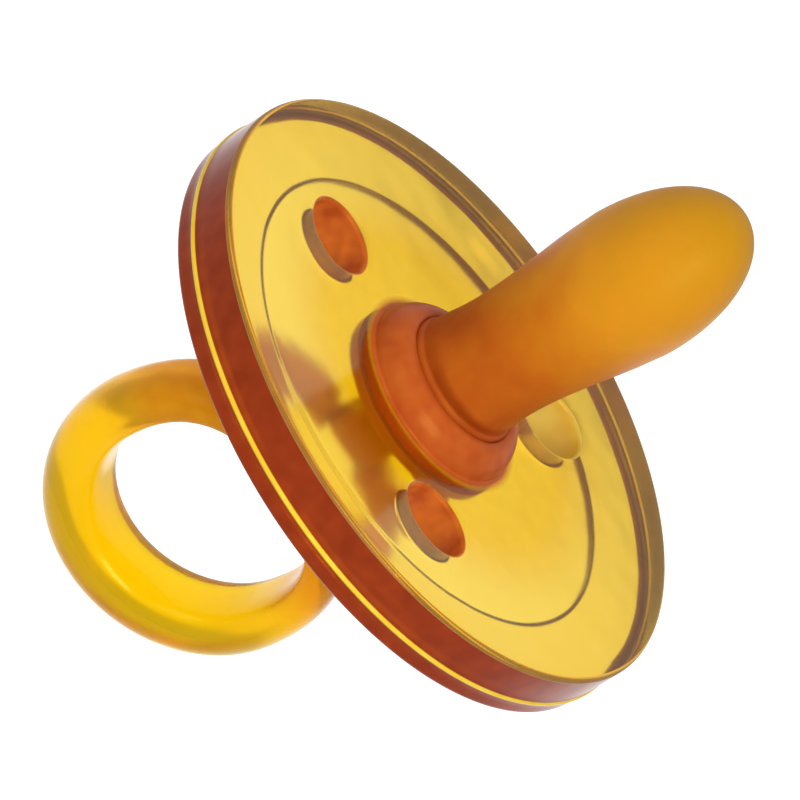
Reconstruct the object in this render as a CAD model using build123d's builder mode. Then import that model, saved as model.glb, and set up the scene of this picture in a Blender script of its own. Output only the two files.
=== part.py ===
"""A natural rubber soother: shield, hollow teat, plug with an eye, and a ring handle that hangs in the eye.

The frame: +Z along the shield's axis towards the teat, +X along the pintle as seen from the front, and the
origin under the shield's centre at the height of the ring's lowest point. The first heights below are counted
from the shield's front rim, positive towards the teat; depths and distances behind the shield are counted
from its back face.
"""
from build123d import *
import math
import os

# shield
shield_radius = 21.5
shield_thickness = 4.75
rim_edge_radius = 0.3
face_dish_depth = 1.2
parting_line_depth = 3.2
parting_step = 0.12
back_recess_radius = 16.4
back_recess_depth = 0.6
boss_base_radius = 6.3
boss_height = 1.0
boss_edge_radius = 0.9
vent_radius = 2.6
vent_circle_radius = 12.3
vent_count = 3
vent_start_angle = 168.2
vent_edge_radius = 0.25

# teat: the half thickness lies along X and the half width along Y
root_radius = 4.6
neck_start_height = 1.3
neck_start_slope = -0.15
neck_start_radius = 4.35
waist_height = 4.8
waist_radius = 4.1
swell_height = 9.8
swell_radius = 4.5
bulb_height = 15.0
bulb_radius = 5.0
tip_height = 23.8
teat_width_ratio = 1.2
teat_lean = 2.2
teat_wall = 1.4
root_bore_radius = 3.1
flange_radius = 6.2
flange_thickness = 1.3

# plug
spigot_length = 3.4
spigot_edge_radius = 0.5
head_radius = 7.0
head_thickness = 1.2
head_edge_radius = 0.5
eye_depth = 7.4
eye_wall = 0.75
lug_half_length = 2.0
lug_root_radius = 0.6

# ring handle: it leans sideways, is swung back a little, and is thicker at its far end than at the pintle
handle_lean = 6.5
handle_swing = 6.4
opening_distance = 16.08
opening_radius = 7.25
opening_edge_radius = 1.05
ring_distance = 17.15
ring_radius = 10.78
ring_flat_radius = 8.2
ring_half_width = 3.0
pintle_radius = 0.8
running_clearance = 0.05
side_clearance = 0.3
pintle_overlap = 1.0
notch_radius = 3.2

# heights in the frame
lean = math.radians(handle_lean)
swing = math.radians(handle_swing)
ring_tilt = math.asin(math.sin(swing) * math.cos(lean))
ring_reach = ring_flat_radius * math.cos(ring_tilt) + math.hypot(
    (ring_radius - ring_flat_radius) * math.cos(ring_tilt), ring_half_width * math.sin(ring_tilt)
)
back_height = (eye_depth + (ring_distance - eye_depth) * math.cos(swing)) * math.cos(lean) + ring_reach
rim_height = back_height + shield_thickness
recess_height = back_height + back_recess_depth
flange_top_height = recess_height + flange_thickness
boss_top_height = rim_height + boss_height
head_low_height = recess_height - head_thickness
eye_radius = pintle_radius + running_clearance
lug_radius = eye_radius + eye_wall

# the pintle's axis leans with the lug, and the handle hangs from it, swung away from the lug's own line
lug_plane = Plane(
    origin=(0, 0, back_height),
    x_dir=(math.cos(lean), 0, -math.sin(lean)),
    z_dir=(math.sin(lean), 0, math.cos(lean)),
)
eye_centre = lug_plane.from_local_coords(Vector(0, 0, -eye_depth))
pintle_plane = Plane(origin=eye_centre, x_dir=(0, 1, 0), z_dir=lug_plane.x_dir)
handle_plane = Plane(
    origin=eye_centre,
    x_dir=lug_plane.x_dir,
    z_dir=(math.sin(lean) * math.cos(swing), -math.sin(swing), math.cos(lean) * math.cos(swing)),
)
ring_centre = handle_plane.from_local_coords(Vector(0, 0, eye_depth - ring_distance))
opening_centre = handle_plane.from_local_coords(Vector(0, 0, eye_depth - opening_distance))
ring_section = Plane(origin=ring_centre, x_dir=handle_plane.x_dir, z_dir=handle_plane.z_dir)
opening_section = Plane(origin=opening_centre, x_dir=handle_plane.x_dir, z_dir=handle_plane.z_dir)


os.makedirs("parts", exist_ok=True)

# the shield: a thick dished disc with a rounded boss round the teat's root and a shallow recess behind
with BuildPart() as shield:
    with BuildSketch(Plane.XZ):
        with BuildLine():
            rim_top = (shield_radius, rim_height - rim_edge_radius)
            rim_inside = (shield_radius - rim_edge_radius, rim_height)
            dish_bottom_height = rim_height - face_dish_depth
            dish_radius = (shield_radius**2 + face_dish_depth**2) / (2 * face_dish_depth)
            boss_foot_height = (
                rim_height - face_dish_depth + dish_radius - math.sqrt(dish_radius**2 - boss_base_radius**2)
            )
            middle_radius = (boss_base_radius + shield_radius) / 2
            dish_middle = (
                middle_radius,
                dish_bottom_height + dish_radius - math.sqrt(dish_radius**2 - middle_radius**2),
            )
            parting_height = rim_height - parting_line_depth
            ThreePointArc((boss_base_radius, boss_foot_height), dish_middle, rim_inside)
            RadiusArc(rim_inside, rim_top, rim_edge_radius)
            Polyline(
                rim_top,
                (shield_radius, parting_height),
                (shield_radius - parting_step, parting_height - parting_step),
                (shield_radius - parting_step, back_height),
                (back_recess_radius + back_recess_depth, back_height),
                (back_recess_radius, recess_height),
                (flange_radius, recess_height),
                (flange_radius, flange_top_height),
                (root_radius, flange_top_height),
                (root_radius, boss_top_height),
                (boss_base_radius - boss_edge_radius, boss_top_height),
            )
            Line(
                (boss_base_radius - boss_edge_radius, boss_top_height),
                (boss_base_radius, boss_foot_height),
            )
        make_face()
    revolve(axis=Axis.Z)
    back_edge = shield.edges().filter_by(GeomType.CIRCLE).group_by(Axis.Z)[0].sort_by(SortBy.RADIUS)[-1]
    fillet(back_edge, rim_edge_radius)
    vent_places = PolarLocations(vent_circle_radius, vent_count, start_angle=vent_start_angle)
    with BuildSketch(Plane.XY.offset(back_height)):
        with vent_places:
            Circle(vent_radius)
    extrude(amount=shield_thickness, mode=Mode.SUBTRACT)
    fillet(shield.edges(Select.LAST).filter_by(GeomType.LINE, reverse=True), vent_edge_radius)
    boss_edge = shield.edges().filter_by(GeomType.CIRCLE).group_by(Axis.Z)[-1].sort_by(SortBy.RADIUS)[-1]
    fillet(boss_edge, boss_edge_radius)

shield.part.label = "shield"
export_step(shield.part, "parts/shield.step")


def oval_bulb(inset):
    """The teat's oval body above the shield, or with an inset the hollow inside it, standing on the origin."""
    with BuildPart() as bulb:
        with BuildSketch(Plane.XZ):
            with BuildLine():
                base = neck_start_height - boss_height
                start = (neck_start_radius - inset, base)
                widest = (bulb_radius - inset, bulb_height - boss_height)
                tip = (0, tip_height - boss_height - inset)
                Spline(
                    start,
                    (waist_radius - inset, waist_height - boss_height),
                    (swell_radius - inset, swell_height - boss_height),
                    widest,
                    tangents=[(neck_start_slope, 1), (0, 1)],
                )
                EllipticalCenterArc((0, widest[1]), widest[0], tip[1] - widest[1], start_angle=0, arc_size=90)
                Polyline(tip, (0, base), start)
            make_face()
        revolve(axis=Axis.Z)
        scale(by=(1, teat_width_ratio, 1))
    return bulb.part


# the teat: a slim oval bulb on a round root, hollow, with a flange that sits behind the shield
bulb_body = oval_bulb(0)
bulb_hollow = oval_bulb(teat_wall)
with BuildPart(Plane.XY.offset(boss_top_height)) as teat:
    add(bulb_body, rotation=(0, teat_lean, 0))
    with BuildSketch(Plane.XY.offset(flange_top_height)):
        Circle(root_radius)
    extrude(amount=boss_top_height + neck_start_height - flange_top_height)
    with BuildSketch(Plane.XY.offset(recess_height)):
        Circle(flange_radius)
    extrude(amount=flange_thickness)
    add(bulb_hollow, rotation=(0, teat_lean, 0), mode=Mode.SUBTRACT)
    with BuildSketch(Plane.XY.offset(recess_height)):
        Circle(root_bore_radius)
    extrude(amount=rim_height + waist_height - recess_height, mode=Mode.SUBTRACT)
teat.part.label = "teat"
export_step(teat.part, "parts/teat.step")


# the plug: a spigot in the teat's root, a head that traps the teat's flange, and a leaning lug with an eye
with BuildPart() as plug:
    with BuildSketch(Plane.XY.offset(head_low_height)):
        Circle(head_radius)
    extrude(amount=head_thickness)
    head_edge = plug.edges().group_by(Axis.Z)[0]
    fillet(head_edge, head_edge_radius)
    with BuildSketch(Plane.XY.offset(recess_height)):
        Circle(root_bore_radius)
    extrude(amount=spigot_length)
    spigot_edge = plug.edges().group_by(Axis.Z)[-1]
    fillet(spigot_edge, spigot_edge_radius)
    with BuildSketch(pintle_plane):
        Circle(lug_radius)
    extrude(amount=lug_half_length, both=True)
    lug_rise = eye_depth - (back_height - head_low_height) / 2
    with BuildSketch(pintle_plane):
        with Locations((0, lug_rise / 2)):
            Rectangle(2 * lug_radius, lug_rise)
    extrude(amount=lug_half_length, both=True)
    lug_root = plug.faces().filter_by(Axis.Z).group_by(Axis.Z)[0].edges().filter_by(GeomType.LINE)
    fillet(lug_root, lug_root_radius)
    with BuildSketch(pintle_plane):
        Circle(eye_radius)
    extrude(amount=lug_half_length, both=True, mode=Mode.SUBTRACT)
plug.part.label = "plug"
export_step(plug.part, "parts/plug.step")


# the ring handle: a rounded disc with an off-centre opening, notched round the lug, with a pintle across
with BuildPart() as ring_handle:
    with BuildSketch(ring_section):
        Rectangle(ring_flat_radius, 2 * ring_half_width, align=(Align.MIN, Align.CENTER))
        with Locations((ring_flat_radius, 0)):
            Ellipse(ring_radius - ring_flat_radius, ring_half_width)
        Rectangle(ring_radius, 2 * ring_half_width, align=(Align.MAX, Align.CENTER), mode=Mode.SUBTRACT)
    revolve(axis=Axis(ring_centre, handle_plane.y_dir))
    with BuildSketch(opening_section):
        Rectangle(opening_radius + opening_edge_radius, 2 * ring_half_width, align=(Align.MIN, Align.CENTER))
        with Locations((opening_radius + ring_half_width, 0)):
            RectangleRounded(
                2 * ring_half_width, 2 * ring_half_width, opening_edge_radius, mode=Mode.SUBTRACT
            )
    revolve(axis=Axis(opening_centre, handle_plane.y_dir), mode=Mode.SUBTRACT)
    notch_half = lug_half_length + side_clearance
    with BuildSketch(pintle_plane):
        Circle(notch_radius)
    extrude(amount=notch_half, both=True, mode=Mode.SUBTRACT)
    with BuildSketch(pintle_plane):
        Circle(pintle_radius)
    extrude(amount=notch_half + pintle_overlap, both=True)
ring_handle.part.label = "ring_handle"
export_step(ring_handle.part, "parts/ring_handle.step")
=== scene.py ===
"""The soother's looks: natural rubber from clear amber to cloudy orange, seen in a plain white studio.

The shield, the teat and the ring handle are built here again, closer to the photograph than their CAD solids.
Lengths are in millimetres until a mesh is made. Heights are the frame's, except in the teat's profile, where
they are counted from the shield's front rim.
"""
import math
from collections import namedtuple

import bmesh
import bpy
from mathutils import Matrix, Vector
from mathutils.geometry import delaunay_2d_cdt


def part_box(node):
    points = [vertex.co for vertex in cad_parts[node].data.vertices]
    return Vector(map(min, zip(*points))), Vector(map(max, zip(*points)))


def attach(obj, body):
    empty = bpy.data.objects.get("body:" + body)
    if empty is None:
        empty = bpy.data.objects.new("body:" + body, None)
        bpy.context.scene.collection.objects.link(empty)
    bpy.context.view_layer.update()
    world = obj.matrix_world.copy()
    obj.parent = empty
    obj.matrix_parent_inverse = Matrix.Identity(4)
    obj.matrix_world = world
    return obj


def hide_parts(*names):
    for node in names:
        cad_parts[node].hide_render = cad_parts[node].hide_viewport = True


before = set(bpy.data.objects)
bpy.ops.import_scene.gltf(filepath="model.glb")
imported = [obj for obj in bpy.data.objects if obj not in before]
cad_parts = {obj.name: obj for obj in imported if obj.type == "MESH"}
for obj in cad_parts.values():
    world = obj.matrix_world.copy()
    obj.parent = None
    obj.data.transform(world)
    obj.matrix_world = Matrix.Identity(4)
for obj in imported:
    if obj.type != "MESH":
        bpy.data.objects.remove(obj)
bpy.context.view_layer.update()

MM = 0.001
BOSS_HEIGHT = 1.0
SHIELD_LOW, SHIELD_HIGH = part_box("shield")
BACK = SHIELD_LOW.z / MM
RIM = SHIELD_HIGH.z / MM - BOSS_HEIGHT
CENTRE = Vector((0, 0, RIM)) * MM

# shield
SHIELD_RADIUS = 21.72
SHIELD_EDGE = 0.35
SHIELD_SIDES = 360
FACE_DISH = 1.2
BEAD = RIM - 3.2
BEAD_RADIUS = 0.17
BEAD_SINK = 0.06
WALL_STEP = 0.05
RECESS = BACK + 0.57
RECESS_RADIUS = 16.8
RECESS_EDGE = 0.2
PLATE_SPACING = 0.6

# the boss round the teat's root
BOSS_TOP = RIM + BOSS_HEIGHT
BOSS_RADIUS = 6.55
BOSS_FILLET = 0.2
BOSS_FULLNESS = 1.7
BOSS_SIDES = 240
CROWN_RADIUS = 5.0
BORE_RADIUS = 4.55
BORE_EDGE = 0.35

# the vents, and how far each one's wall gets brownish painted shade instead of a golden painted highlight
VENT_RADIUS = 2.6
VENT_CIRCLE = 12.3
VENT_EDGE = 0.3
VENT_RIM = VENT_RADIUS + VENT_EDGE
VENT_SIDES = 120
VENT_TURNS = [math.radians(168.2 + 120 * i) for i in range(3)]
VENT_WALL_SHADES = [1.0, 1.0, 0.05]

# teat, as heights above the rim and half thicknesses along X
TEAT_KNOTS = [(1.3, 4.38), (3.0, 4.17), (4.8, 4.12), (7.3, 4.27), (9.8, 4.54), (12.4, 4.85), (15.0, 5.05)]
TEAT_TIP = 23.95
TEAT_FULLNESS = 2.08
TEAT_WALL = 1.4
TEAT_OVAL = 1.2
TEAT_LEAN = math.radians(1.35)
TEAT_BEND = 0.00096
TEAT_SIDES = 192
ROOT_RADIUS = 4.6
ROOT_BORE = 3.1
FLANGE_BACK = BACK + 0.6
FLANGE_RADIUS = 6.45
FLANGE_THICKNESS = 3.0
FLANGE_OVERLAP = 0.02

# ring handle: distances are behind the shield's back, down the leaning line that the ring hangs on
LEAN = math.radians(6.5)
SWING = math.radians(6.4)
EYE_DEPTH = 7.4
OPENING_DISTANCE = 16.08
OPENING_RADIUS = 7.14
RING_DISTANCE = 17.15
RING_RADIUS = 10.65
RING_HALF_WIDTH = 2.95
RING_STATIONS = 300
RING_SIDES = 72
NOTCH_HALF = 2.9
NOTCH_REACH = 9.2
NOTCH_EDGE = 0.6
PINTLE_RADIUS = 0.8
PINTLE_HALF = 3.7
PINTLE_SIDES = 48

Zone = namedtuple("Zone", "name low high clear rough")


# shapes

class Shell:
    """Vertices in millimetres and the faces between them, built ring by ring."""

    def __init__(self):
        self.verts = []
        self.faces = []
        self.zones = {}

    def mark(self, zone, first, amount):
        """Notes how far each vertex from first on lies in a zone of its own look."""
        amounts = self.zones.setdefault(zone, {})
        for i in range(first, len(self.verts)):
            amounts[i] = amount(self.verts[i])

    def ring(self, points):
        first = len(self.verts)
        self.verts.extend(points)
        return list(range(first, len(self.verts)))

    def circle(self, radius, height, count):
        turns = (2 * math.pi * i / count for i in range(count))
        return self.ring([(radius * math.cos(a), radius * math.sin(a), height) for a in turns])

    def strip(self, a, b):
        for i in range(len(a)):
            j = (i + 1) % len(a)
            self.faces.append((a[i], a[j], b[j], b[i]))

    def lathe(self, start, profile):
        """Carries a ring on through the radii and heights of a profile, and returns the last ring."""
        for radius, height in profile:
            turned = self.circle(radius, height, len(start))
            self.strip(start, turned)
            start = turned
        return start

    def cap(self, ring, point, flip=False):
        """Closes a ring with triangles that meet in a point."""
        tip = len(self.verts)
        self.verts.append(point)
        for i, a in enumerate(ring):
            b = ring[(i + 1) % len(ring)]
            self.faces.append((b, a, tip) if flip else (a, b, tip))

    def plate(self, inner, outer, openings, height, flip=False):
        """Fills the space between two circles with even triangles, but for the vents' openings."""
        rings = [inner, outer, *openings]
        used = [i for ring in rings for i in ring]
        flat = [Vector(self.verts[i][:2]) for i in used]
        edges, first = [], 0
        for ring in rings:
            n = len(ring)
            edges += [(first + i, first + (i + 1) % n) for i in range(n)]
            first += n
        low, high = (math.hypot(*self.verts[ring[0]][:2]) for ring in (inner, outer))
        centres = [Vector((math.cos(a), math.sin(a))) * VENT_CIRCLE for a in VENT_TURNS]
        rows = round((high - low) / PLATE_SPACING)
        for row in range(1, rows):
            radius = low + (high - low) * row / rows
            count = round(2 * math.pi * radius / PLATE_SPACING)
            for i in range(count):
                a = 2 * math.pi * (i + 0.5 * (row % 2)) / count
                p = Vector((math.cos(a), math.sin(a))) * radius
                if all((p - c).length > VENT_RIM + 0.6 * PLATE_SPACING for c in centres):
                    used.append(len(self.verts))
                    self.verts.append((p.x, p.y, height(radius)))
                    flat.append(p)
        points, _, faces, origin, _, _ = delaunay_2d_cdt(flat, edges, [], 0, 1e-6)
        for face in faces:
            middle = sum((points[i] for i in face), Vector((0, 0))) / len(face)
            if middle.length < low or any((middle - c).length < VENT_RIM for c in centres):
                continue
            corners = [used[origin[i][0]] for i in face]
            self.faces.append(tuple(reversed(corners)) if flip else tuple(corners))


def mesh_object(name, shell, body, node):
    """Makes a shell into a mesh that rides on a body in place of a CAD node."""
    mesh = bpy.data.meshes.new(name)
    mesh.from_pydata([Vector(v) * MM for v in shell.verts], [], shell.faces)
    for zone, amounts in shell.zones.items():
        layer = mesh.attributes.new(zone, "FLOAT", "POINT")
        for vertex, amount in amounts.items():
            layer.data[vertex].value = amount
    outward = bmesh.new()
    outward.from_mesh(mesh)
    bmesh.ops.recalc_face_normals(outward, faces=outward.faces)
    outward.to_mesh(mesh)
    outward.free()
    mesh.shade_smooth()
    ob = bpy.data.objects.new(name, mesh)
    bpy.context.scene.collection.objects.link(ob)
    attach(ob, body)
    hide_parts(node)
    return ob


def arc(centre, radius, start, end, steps=8):
    """Points of a profile's rounded corner, angles in degrees."""
    turns = (math.radians(start + (end - start) * i / steps) for i in range(steps + 1))
    return [(centre[0] + radius * math.cos(a), centre[1] + radius * math.sin(a)) for a in turns]


def run(start, end, step=0.7, hold=0.02):
    """Points between two profile corners, with one held close to each end so that flats stay flat."""
    length = math.dist(start, end)
    count = int(length / step)
    stops = sorted([hold / length, 1 - hold / length] + [i / (count + 1) for i in range(1, count + 1)])
    return [(start[0] + (end[0] - start[0]) * t, start[1] + (end[1] - start[1]) * t) for t in stops]


def quarter(fullness, steps=32):
    """Shares of the two half axes round a quarter, from (1, 0) to (0, 1): an ellipse at fullness 2."""
    turns = (math.radians(90 * i / steps) for i in range(steps + 1))
    return [(math.cos(a) ** (2 / fullness), math.sin(a) ** (2 / fullness)) for a in turns]


def fade(value, low, high):
    """Goes smoothly from 0 at low to 1 at high."""
    share = min(max((value - low) / (high - low), 0), 1)
    return share * share * (3 - 2 * share)


def dish(radius):
    """Height of the shield's hollow front face."""
    sphere = (SHIELD_RADIUS**2 + FACE_DISH**2) / (2 * FACE_DISH)
    return RIM - FACE_DISH + sphere - math.sqrt(sphere**2 - radius**2)


def side_profile(top):
    """Down the side wall, over the fine bead left by the mould, and round to the back."""
    wall = SHIELD_RADIUS - WALL_STEP
    above_bead, below_bead = BEAD + 0.2, BEAD - 0.22
    profile = arc((SHIELD_RADIUS - SHIELD_EDGE, top), SHIELD_EDGE, 86, 0)
    profile += run((SHIELD_RADIUS, top), (SHIELD_RADIUS, above_bead))
    profile += arc((SHIELD_RADIUS - BEAD_SINK, BEAD), BEAD_RADIUS, 65, -75, 10)
    profile += run((wall, below_bead), (wall, BACK + SHIELD_EDGE))
    profile += arc((wall - SHIELD_EDGE, BACK + SHIELD_EDGE), SHIELD_EDGE, 0, -90)
    return profile


def back_profile():
    """In along the flat back and over the soft edge of its recess."""
    flat_edge = RECESS_RADIUS + RECESS_EDGE
    recess_edge = RECESS_RADIUS - RECESS_EDGE
    profile = run((SHIELD_RADIUS - WALL_STEP - SHIELD_EDGE, BACK), (flat_edge, BACK))
    profile += arc((flat_edge, BACK + RECESS_EDGE), RECESS_EDGE, -90, -150, 5)
    profile += arc((recess_edge, RECESS - RECESS_EDGE), RECESS_EDGE, 30, 90, 5)
    return profile


def boss_profile(foot_height):
    """Up over the boss, down its bore, and out to the seat of the teat's flange."""
    dome_height = foot_height + BOSS_FILLET
    profile = arc((BOSS_RADIUS + BOSS_FILLET, dome_height), BOSS_FILLET, -98, -180)
    for out, rise in quarter(BOSS_FULLNESS)[1:]:
        radius = CROWN_RADIUS + (BOSS_RADIUS - CROWN_RADIUS) * out
        profile.append((radius, dome_height + (BOSS_TOP - dome_height) * rise))
    seat, ledge, gap = FLANGE_RADIUS - FLANGE_OVERLAP, RECESS + FLANGE_THICKNESS, 0.05
    profile += arc((BORE_RADIUS + BORE_EDGE, BOSS_TOP - BORE_EDGE), BORE_EDGE, 90, 180)
    profile += run((BORE_RADIUS, BOSS_TOP - BORE_EDGE - gap), (BORE_RADIUS, ledge + gap))
    profile += run((BORE_RADIUS, ledge), (seat, ledge))
    profile += run((seat, ledge - gap), (seat, RECESS)) + [(seat, RECESS)]
    return profile


def add_vent(shell, turn, wall_shade):
    """Adds the wall of one vent, rounded at both ends, and returns the rings where it meets the faces."""
    x, y = VENT_CIRCLE * math.cos(turn), VENT_CIRCLE * math.sin(turn)

    def vent_ring(radius, depth=None, rise=None):
        """A ring at a depth under the dished front, or at a rise over the flat recess."""
        points = []
        for a in (2 * math.pi * i / VENT_SIDES for i in range(VENT_SIDES)):
            c, s = math.cos(a), math.sin(a)
            face = dish(math.hypot(x + VENT_RIM * c, y + VENT_RIM * s))
            height = RECESS + rise if depth is None else face - depth
            points.append((x + radius * c, y + radius * s, height))
        return shell.ring(points)

    def carry(start, rings):
        for ring in rings:
            shell.strip(start, ring)
            start = ring
        return start

    turns = [math.radians(15 * i) for i in range(1, 7)]
    bends = [(VENT_EDGE * (1 - math.cos(a)), VENT_EDGE * (1 - math.sin(a))) for a in turns]
    beside_bend = VENT_EDGE + 0.03
    front = vent_ring(VENT_RIM, depth=0)
    first = len(shell.verts)
    wall = carry(front, [vent_ring(VENT_RADIUS + inward, depth=down) for down, inward in bends])
    wall = carry(wall, [vent_ring(VENT_RADIUS, depth=beside_bend)])
    rises = (2.4, 1.8, 1.2, 0.6, beside_bend, VENT_EDGE)
    wall = carry(wall, [vent_ring(VENT_RADIUS, rise=rise) for rise in rises])
    # painted shade and highlight: the wall is brownish by its share of shade, and where it has little shade
    # it turns a bright yellow painted highlight
    shell.mark("wall", first, lambda v: wall_shade)
    shell.mark("bead", first, lambda v: 0.8 * (1 - wall_shade))
    back = carry(wall, [vent_ring(VENT_RADIUS + outward, rise=rise) for outward, rise in bends])
    return front, back


def middle_share(vertex):
    """How far a point lies in the deep yellow middle of the front face. Outside it the face keeps a paler
    tint, which is painted sheen.
    """
    return 1 - fade(math.hypot(vertex[0], vertex[1]), 11.0, 17.5) if vertex[2] > RIM - 1.7 else 0.0


def make_shield():
    """The dished disc, with its zones marked for amber(): painted shade, highlight and sheen, and the boss's
    own colour.
    """
    shell = Shell()
    face_radius = SHIELD_RADIUS - SHIELD_EDGE
    top = dish(face_radius) - SHIELD_EDGE
    lip = top + 0.05
    face_edge = shell.circle(face_radius, dish(face_radius), SHIELD_SIDES)
    first = len(shell.verts)
    back_edge = shell.lathe(face_edge, side_profile(top))
    # painted shade: below the lip the side wall is dark red and nearly opaque
    shell.mark("edge", first, lambda v: 1.0 if v[2] < lip else 0.0)
    # painted highlight: the lip's rounded top is a pale cream
    shell.mark("lip", first, lambda v: 0.0 if v[2] < lip else 1.0)
    # painted highlight: the bead's line is bright yellow
    shell.mark("bead", first, lambda v: 1.0 if abs(v[2] - BEAD) < BEAD_RADIUS else 0.0)
    recess_edge = shell.lathe(back_edge, back_profile())

    foot_radius = BOSS_RADIUS + BOSS_FILLET
    first = len(shell.verts)
    face_foot = shell.circle(foot_radius, dish(foot_radius), BOSS_SIDES)
    seat_edge = shell.lathe(face_foot, boss_profile(dish(foot_radius)))
    shell.mark("collar", first, lambda v: 1.0)

    fronts, backs = zip(*(add_vent(shell, turn, wall_shade) for turn, wall_shade in zip(VENT_TURNS, VENT_WALL_SHADES)))
    shell.plate(face_foot, face_edge, fronts, dish)
    shell.plate(seat_edge, recess_edge, backs, lambda radius: RECESS, flip=True)
    # painted sheen: the face is deep yellow in its middle and paler outside it
    shell.mark("middle", 0, middle_share)
    return mesh_object("shield_rubber", shell, "soother", "shield")


def spline(knots, steps=16):
    """Smooth curve through knots of (height, radius), as (radius, height) points up to the last knot."""
    slopes = []
    for i in range(len(knots)):
        before, after = knots[max(i - 1, 0)], knots[min(i + 1, len(knots) - 1)]
        slopes.append((after[1] - before[1]) / (after[0] - before[0]))
    points = []
    for i, ((z0, r0), (z1, r1)) in enumerate(zip(knots, knots[1:])):
        for t in (k / steps for k in range(steps)):
            start, leave = 2 * t**3 - 3 * t**2 + 1, t**3 - 2 * t**2 + t
            end, arrive = 3 * t**2 - 2 * t**3, t**3 - t**2
            tangents = leave * slopes[i] + arrive * slopes[i + 1]
            points.append((start * r0 + end * r1 + (z1 - z0) * tangents, z0 + (z1 - z0) * t))
    return points


def teat_profile(inset):
    """The outside from the neck to just short of the tip, or the hollow at an inset, and the tip's height."""
    bulb_height, bulb_radius = TEAT_KNOTS[-1]
    tip = TEAT_TIP - inset
    points = [(r - inset, z) for r, z in spline(TEAT_KNOTS)]
    for out, rise in quarter(TEAT_FULLNESS)[:-1]:
        points.append(((bulb_radius - inset) * out, bulb_height + (tip - bulb_height) * rise))
    return points, tip


def flange_profile():
    """From the bore's mouth round the flange, and up the root to the neck."""
    floor = FLANGE_BACK - RIM
    corners = [(ROOT_BORE, floor), (FLANGE_RADIUS, floor)]
    corners += [(FLANGE_RADIUS, floor + FLANGE_THICKNESS), (ROOT_RADIUS, floor + FLANGE_THICKNESS)]
    profile = corners[:1]
    for start, end in zip(corners, corners[1:]):
        profile += run(start, end) + [end]
    profile += run(corners[-1], (ROOT_RADIUS, BOSS_HEIGHT - 0.1))
    return profile + [(ROOT_RADIUS - 0.02, BOSS_HEIGHT + 0.05), (ROOT_RADIUS - 0.1, BOSS_HEIGHT + 0.2)]


def teat_point(radius, height, turn):
    """A point of the teat, which is oval and leans more and more once it is above the boss."""
    blend = fade(height, BOSS_HEIGHT, BOSS_HEIGHT + 1.6)
    x = radius * math.cos(turn)
    y = radius * math.sin(turn) * (1 + (TEAT_OVAL - 1) * blend)
    lift = max(height - BOSS_HEIGHT, 0)
    lean = TEAT_LEAN * blend + 2 * TEAT_BEND * lift
    aside = lift * math.sin(TEAT_LEAN * blend) + TEAT_BEND * lift**2
    return (x * math.cos(lean) + aside, y, RIM + height - x * math.sin(lean))


def make_teat():
    """One hollow piece: down the hollow from its tip, out through the bore, and up the outside."""
    shell = Shell()
    outer, tip = teat_profile(0)
    inner, hollow_tip = teat_profile(TEAT_WALL)
    bore = [(ROOT_BORE, z) for z in (0.6, -0.6, -1.8, -3.0)]
    turns = [2 * math.pi * i / TEAT_SIDES for i in range(TEAT_SIDES)]
    profile = inner[::-1] + bore + flange_profile() + outer
    rings = [shell.ring([teat_point(r, z, a) for a in turns]) for r, z in profile]
    for a, b in zip(rings, rings[1:]):
        shell.strip(b, a)
    shell.cap(rings[0], teat_point(0, hollow_tip, 0))
    shell.cap(rings[-1], teat_point(0, tip, 0), flip=True)
    return mesh_object("teat_rubber", shell, "soother", "teat")


def handle_axes():
    """The eye's centre, the pintle's line, the axis through the opening, and the way up to the shield."""
    across = Vector((math.cos(LEAN), 0, -math.sin(LEAN)))
    eye = Vector((-EYE_DEPTH * math.sin(LEAN), 0, BACK - EYE_DEPTH * math.cos(LEAN)))
    up = Vector((math.sin(LEAN) * math.cos(SWING), -math.sin(SWING), math.cos(LEAN) * math.cos(SWING)))
    return eye, across, up.cross(across), up


def circle_reach(offset, radius, turn, square):
    """Distance from the ring's middle to one of its circles, which is a little square towards the shield."""
    c, s = max(math.cos(turn), 0), abs(math.sin(turn))
    full = (c**2 + s**2) ** 0.5 / (c**square + s**square) ** (1 / square) if c > 0 else 1.0
    b = offset * math.cos(turn)
    return (b + math.sqrt(b * b - offset * offset + radius * radius)) * full


def ring_section(shell, turn, inset):
    """A cross-section, flat towards the opening with soft corners and rounded outside, and its middle."""
    eye, across, along, up = handle_axes()
    middle = (OPENING_DISTANCE + RING_DISTANCE) / 2
    near = circle_reach(middle - OPENING_DISTANCE, OPENING_RADIUS, turn, 2.5)
    far = circle_reach(middle - RING_DISTANCE, RING_RADIUS, turn, 2.3)
    widest = near + 0.44 * (far - near)
    out = up * math.cos(turn) + across * math.sin(turn)
    start = eye + up * (EYE_DEPTH - middle)
    points = []
    for i in range(RING_SIDES):
        v = 2 * math.pi * i / RING_SIDES
        c, s = math.cos(v), math.sin(v)
        outside = c > 0
        power = 2 / (2.15 if outside else 3.4)
        depth = (far - widest if outside else widest - near) - inset
        side = math.copysign(abs(s) ** power, s) * (RING_HALF_WIDTH - inset)
        reach = widest + math.copysign(abs(c) ** power, c) * depth
        points.append(tuple(start + out * reach + along * side))
    return shell.ring(points), tuple(start + out * widest)


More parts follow.
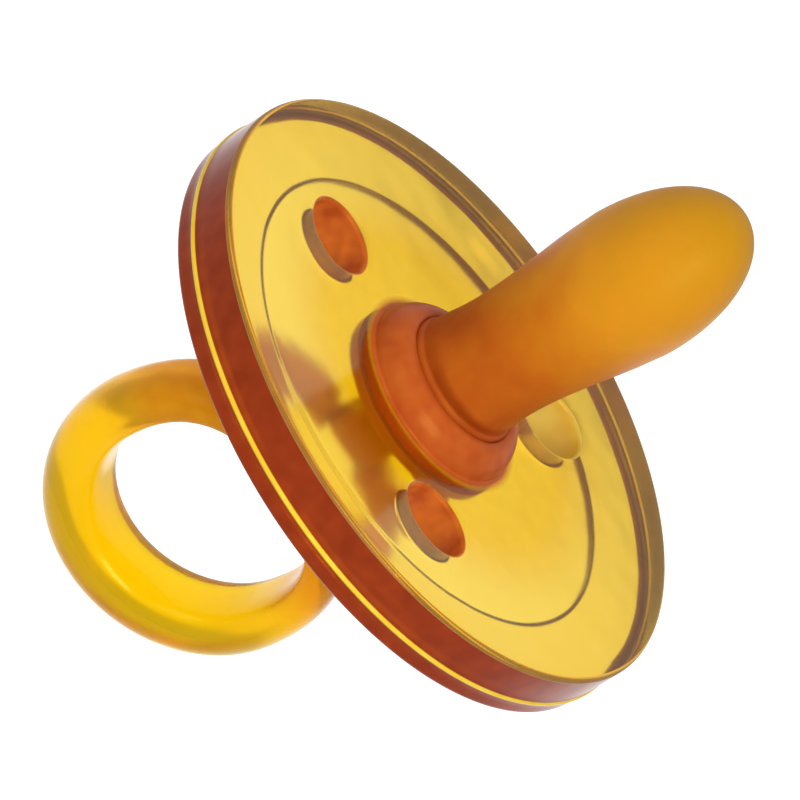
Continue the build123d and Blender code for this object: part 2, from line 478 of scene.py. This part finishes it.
def make_ring():
    """The ring's body from one side of its notch round to the other, with the pintle across the notch."""
    shell = Shell()
    gap = math.asin(NOTCH_HALF / NOTCH_REACH)
    bends = [math.radians(90 * i / 6) for i in range(6, -1, -1)]
    end = [(gap - NOTCH_EDGE / NOTCH_REACH * math.sin(a), NOTCH_EDGE * (1 - math.cos(a))) for a in bends]
    body = [(gap + (2 * math.pi - 2 * gap) * i / RING_STATIONS, 0.0) for i in range(1, RING_STATIONS)]
    stations = end + body + [(2 * math.pi - turn, inset) for turn, inset in reversed(end)]
    rings, middles = zip(*(ring_section(shell, turn, inset) for turn, inset in stations))
    for a, b in zip(rings, rings[1:]):
        shell.strip(a, b)
    shell.cap(rings[0], middles[0], flip=True)
    shell.cap(rings[-1], middles[-1])
    # painted shade: the ring's upper legs, near the shield, turn redder and cloudier
    shell.mark("painted_shade_leg", 0, lambda v: fade(v[2], 9.0, 16.0))
    ring = mesh_object("ring_rubber", shell, "handle", "ring_handle")
    join_pintle(ring)
    return ring


def join_pintle(ring):
    """Unites the ring's body with a rod across its notch."""
    eye, across, along, up = handle_axes()
    rod = Shell()
    ends = []
    for x in (-PINTLE_HALF, PINTLE_HALF):
        points = []
        for a in (2 * math.pi * i / PINTLE_SIDES for i in range(PINTLE_SIDES)):
            back, rise = PINTLE_RADIUS * math.cos(a), PINTLE_RADIUS * math.sin(a)
            points.append(tuple(eye + across * x + along * back + up * rise))
        ends.append(rod.ring(points))
    rod.strip(*ends)
    rod.cap(ends[0], tuple(eye - across * PINTLE_HALF))
    rod.cap(ends[1], tuple(eye + across * PINTLE_HALF), flip=True)
    mesh = bpy.data.meshes.new("pintle")
    mesh.from_pydata([Vector(v) * MM for v in rod.verts], [], rod.faces)
    pintle = bpy.data.objects.new("pintle", mesh)
    bpy.context.scene.collection.objects.link(pintle)
    join = ring.modifiers.new("pintle", "BOOLEAN")
    join.operation = "UNION"
    join.solver = "EXACT"
    join.object = pintle
    bpy.context.view_layer.update()
    joined = bpy.data.meshes.new_from_object(ring.evaluated_get(bpy.context.evaluated_depsgraph_get()))
    ring.modifiers.clear()
    ring.data = joined
    joined.shade_smooth()
    bpy.data.objects.remove(pintle)


# materials

def settle(node, values):
    """Sets input sockets by name."""
    for name, value in values.items():
        node.inputs[name].default_value = value


class Paint:
    """A material, with short ways to add the nodes that drive its shader. What they return is a socket."""

    def __init__(self, name):
        self.material = bpy.data.materials.new(name)
        self.material.use_nodes = True
        self.nodes = self.material.node_tree.nodes
        self.shader = self.nodes["Principled BSDF"]
        self.coords = self.nodes.new("ShaderNodeTexCoord").outputs["Object"]

    def feed(self, socket, value):
        """Joins a socket to another one, or gives it a plain value."""
        if isinstance(value, bpy.types.NodeSocket):
            self.material.node_tree.links.new(value, socket)
        else:
            socket.default_value = value

    def noise(self, scale, detail):
        node = self.nodes.new("ShaderNodeTexNoise")
        settle(node, {"Scale": scale, "Detail": detail})
        self.feed(node.inputs["Vector"], self.coords)
        return node.outputs["Fac"]

    def ramp(self, source, stops):
        """Colours by value, from stops of (place, colour)."""
        node = self.nodes.new("ShaderNodeValToRGB")
        elements = node.color_ramp.elements
        for element, (place, colour) in zip(elements, (stops[0], stops[-1])):
            element.position, element.color = place, (*colour, 1)
        for place, colour in stops[1:-1]:
            elements.new(place).color = (*colour, 1)
        self.feed(node.inputs["Fac"], source)
        return node.outputs["Color"]

    def span(self, source, low, high, to_low=0.0, to_high=1.0, smooth=False):
        """Maps the values from low to high onto a range."""
        node = self.nodes.new("ShaderNodeMapRange")
        settle(node, {"From Min": low, "From Max": high, "To Min": to_low, "To Max": to_high})
        if smooth:
            node.interpolation_type = "SMOOTHSTEP"
        self.feed(node.inputs["Value"], source)
        return node.outputs["Result"]

    def calculate(self, operation, *terms):
        node = self.nodes.new("ShaderNodeMath")
        node.operation = operation
        for socket, term in zip(node.inputs, terms):
            self.feed(socket, term)
        return node.outputs["Value"]

    def mix(self, kind, factor, a, b):
        """Mixes two colours, of kind RGBA, or two numbers, of kind FLOAT."""
        node = self.nodes.new("ShaderNodeMix")
        node.data_type = kind
        first, second, result = {"RGBA": (6, 7, 2), "FLOAT": (2, 3, 0)}[kind]
        for index, value in ((0, factor), (first, a), (second, b)):
            self.feed(node.inputs[index], value)
        return node.outputs[result]

    def bump(self, layers):
        """Stacks bump layers, each a socket and its depth in metres."""
        last = None
        for source, depth in layers:
            node = self.nodes.new("ShaderNodeBump")
            settle(node, {"Strength": 1.0, "Distance": depth})
            self.feed(node.inputs["Height"], source)
            if last:
                self.feed(node.inputs["Normal"], last.outputs["Normal"])
            last = node
        self.feed(self.shader.inputs["Normal"], last.outputs["Normal"])


def amber(name, tint, absorb, roughness, clear, wave_depth, zones):
    """Clear to cloudy amber rubber, which also absorbs light by a colour and a density per metre.

    Each zone is marked on the mesh, and has two tints, a clearness and a roughness of its own. Most zones
    paint shade, highlight and sheen into the tint."""
    paint = Paint(name)
    cloud = paint.noise(160, 4)
    grain = paint.noise(700, 1)
    fine = paint.noise(1100, 2)
    wave = paint.noise(220, 1)
    colour = paint.ramp(cloud, [(0.3, tint[0]), (0.7, tint[1])])
    rough = paint.span(cloud, 0.3, 0.7, *roughness)
    settle(paint.shader, {
        "Transmission Weight": clear,
        "IOR": 1.5,
        "Specular IOR Level": 0.12,
        "Specular Tint": (1.0, 0.62, 0.12, 1),
    })
    for zone in zones:
        mark = paint.nodes.new("ShaderNodeAttribute")
        mark.attribute_name = zone.name
        amount = mark.outputs["Fac"]
        own = paint.ramp(grain, [(0.3, zone.low), (0.7, zone.high)])
        colour = paint.mix("RGBA", amount, colour, own)
        rough = paint.mix("FLOAT", amount, rough, zone.rough)
        clear = paint.mix("FLOAT", amount, clear, zone.clear)
    for name, socket in (("Transmission Weight", clear), ("Base Color", colour), ("Roughness", rough)):
        paint.feed(paint.shader.inputs[name], socket)
    paint.bump([(wave, wave_depth * MM), (fine, 0.0002 * MM)])
    volume = paint.nodes.new("ShaderNodeVolumeAbsorption")
    settle(volume, {"Color": (*absorb[0], 1), "Density": absorb[1]})
    paint.feed(paint.nodes["Material Output"].inputs["Volume"], volume.outputs["Volume"])
    return paint.material


def matte_rubber(name, low, high, stops, roughness, sunk=None):
    """Dipped cloudy rubber, whose colour follows the height from low to high and drifts in soft patches.

    With sunk, a height and a colour, what lies under that height has that colour."""
    paint = Paint(name)
    split = paint.nodes.new("ShaderNodeSeparateXYZ")
    paint.feed(split.inputs["Vector"], paint.coords)
    patches = paint.noise(190, 4)
    fine = paint.noise(2600, 3)
    height = paint.span(split.outputs["Z"], low, high)
    drift = paint.calculate("MULTIPLY_ADD", patches, 0.7, height)
    colour = paint.ramp(paint.calculate("SUBTRACT", drift, 0.35), stops)
    if sunk:
        above = paint.span(split.outputs["Z"], sunk[0], sunk[0] + 0.2 * MM)
        colour = paint.mix("RGBA", above, (*sunk[1], 1), colour)
    paint.feed(paint.shader.inputs["Base Color"], colour)
    paint.feed(paint.shader.inputs["Roughness"], paint.span(patches, 0.3, 0.7, *roughness))
    settle(paint.shader, {
        "Specular IOR Level": 0.2,
        "Specular Tint": (1.0, 0.6, 0.2, 1),
        "Subsurface Weight": 0.15,
        "Subsurface Radius": (1.0, 0.35, 0.08),
        "Subsurface Scale": 2.0 * MM,
    })
    paint.bump([(patches, 0.12 * MM), (fine, 0.006 * MM)])
    return paint.material


def shield_material():
    zones = (
        # deep yellow middle of the front face, leaving the paler painted sheen outside it
        Zone("middle", (0.86, 0.54, 0.001), (0.90, 0.60, 0.002), 0.96, 0.13),
        # painted highlight: pale cream on the lip
        Zone("lip", (0.88, 0.50, 0.08), (0.94, 0.58, 0.12), 0.80, 0.20),
        # painted shade: the side wall, dark red and cloudy
        Zone("edge", (0.24, 0.024, 0.006), (0.30, 0.034, 0.008), 0.20, 0.16),
        # painted highlight: bright yellow on the bead and on the third vent's wall
        Zone("bead", (1.0, 0.62, 0.03), (1.0, 0.74, 0.06), 0.30, 0.20),
        # painted shade: the brownish vent walls
        Zone("wall", (0.46, 0.08, 0.012), (0.66, 0.16, 0.02), 0.20, 0.35),
        Zone("collar", (0.45, 0.072, 0.012), (0.52, 0.105, 0.016), 0.12, 0.24),
    )
    # the paler base tint, which the front face keeps outside its deep yellow middle, is painted sheen there
    tint = ((1.0, 0.92, 0.36), (1.0, 0.96, 0.48))
    return amber("clear_amber", tint, ((0.972, 0.905, 0.53), 1000), (0.10, 0.16), 0.96, 0.05, zones)


def ring_material():
    # painted shade: redder and cloudier on the upper legs
    zones = (Zone("painted_shade_leg", (0.90, 0.40, 0.010), (0.98, 0.48, 0.014), 0.50, 0.20),)
    tint = ((1.0, 0.78, 0.006), (1.0, 0.88, 0.010))
    return amber("glossy_amber", tint, ((0.98, 0.90, 0.10), 1000), (0.13, 0.20), 0.85, 0.08, zones)


def teat_material():
    stops = [
        (0.0, (0.38, 0.062, 0.007)),
        (0.25, (0.49, 0.115, 0.008)),
        (0.6, (0.60, 0.235, 0.009)),
        (1.0, (0.48, 0.22, 0.006)),
    ]
    flange = ((RIM - 1.1) * MM, (0.90, 0.14, 0.03))
    return matte_rubber("teat_amber", BOSS_TOP * MM, (RIM + 23.6) * MM, stops, (0.38, 0.5), flange)


def plug_material():
    stops = [(0.0, (0.60, 0.22, 0.012)), (1.0, (0.54, 0.17, 0.010))]
    return matte_rubber("plug_amber", (BACK - 10) * MM, BACK * MM, stops, (0.25, 0.35))


# studio

def floor_material(low):
    """Matte white paint with a painted pool of light: it glows round the spot seen behind the soother and
    fades out, so that what shows through the rubber is bright.
    """
    paint = Paint("floor_with_painted_glow")
    settle(paint.shader, {"Base Color": (0.8, 0.8, 0.8, 1), "Roughness": 0.8, "Emission Color": (1, 1, 1, 1)})
    apart = paint.nodes.new("ShaderNodeVectorMath")
    apart.operation = "DISTANCE"
    paint.feed(apart.inputs[0], paint.coords)
    apart.inputs[1].default_value = (0.20, 0.38, low)
    # painted light: the floor glows most within 0.24 m of the spot and not at all beyond 0.55 m
    glow = paint.span(apart.outputs["Value"], 0.24, 0.55, 0.55, 0.0, smooth=True)
    paint.feed(paint.shader.inputs["Emission Strength"], glow)
    return paint.material


def make_floor():
    half, low = 6.0, -0.2
    corners = [(-half, -half, low), (half, -half, low), (half, half, low), (-half, half, low)]
    mesh = bpy.data.meshes.new("floor")
    mesh.from_pydata(corners, [], [(0, 1, 2, 3)])
    floor = bpy.data.objects.new("floor", mesh)
    bpy.context.scene.collection.objects.link(floor)
    floor.data.materials.append(floor_material(low))


def area_light(name, offset, size, power):
    """A square light at an offset from the shield's centre, aimed at it."""
    data = bpy.data.lights.new(name, "AREA")
    data.shape = "RECTANGLE"
    data.size = data.size_y = size
    data.energy = power
    light = bpy.data.objects.new(name, data)
    bpy.context.scene.collection.objects.link(light)
    light.location = CENTRE + Vector(offset)
    light.rotation_mode = "QUATERNION"
    light.rotation_quaternion = (CENTRE - light.location).to_track_quat("-Z", "Y")


def make_studio():
    world = bpy.data.worlds.new("studio")
    world.use_nodes = True
    settle(world.node_tree.nodes["Background"], {"Color": (1, 1, 1, 1), "Strength": 0.6})
    bpy.context.scene.world = world
    bpy.context.scene.view_settings.view_transform = "Standard"
    make_floor()
    area_light("key", (0.15, -0.71, 0.53), 0.45, 6)
    area_light("fill", (-0.62, -0.30, 0.42), 0.5, 1.5)


def make_camera():
    """Stands where the photograph's camera stood, which was turned well over on its side."""
    azimuth, elevation, roll = (math.radians(angle) for angle in (14.6, 27.82, 57.82))
    distance = 538.1 * MM
    data = bpy.data.cameras.new("camera")
    data.sensor_width = 36
    data.lens = 369.7
    data.clip_start = 0.01
    data.clip_end = 20
    camera = bpy.data.objects.new("camera", data)
    bpy.context.scene.collection.objects.link(camera)
    level = math.cos(elevation)
    forward = Vector((math.sin(azimuth) * level, math.cos(azimuth) * level, -math.sin(elevation)))
    aim = CENTRE + Vector((-1.454, -1.272, -3.028)) * MM
    turned = forward.to_track_quat("-Z", "Y").to_matrix() @ Matrix.Rotation(roll, 3, "Z")
    camera.matrix_world = Matrix.Translation(aim - forward * distance) @ turned.to_4x4()
    bpy.context.scene.camera = camera


make_camera()
make_studio()
for ob, material in (
    (make_shield(), shield_material()),
    (make_teat(), teat_material()),
    (make_ring(), ring_material()),
):
    ob.data.materials.clear()
    ob.data.materials.append(material)
plug_paint = plug_material()
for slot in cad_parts["plug"].material_slots:
    slot.material = plug_paint
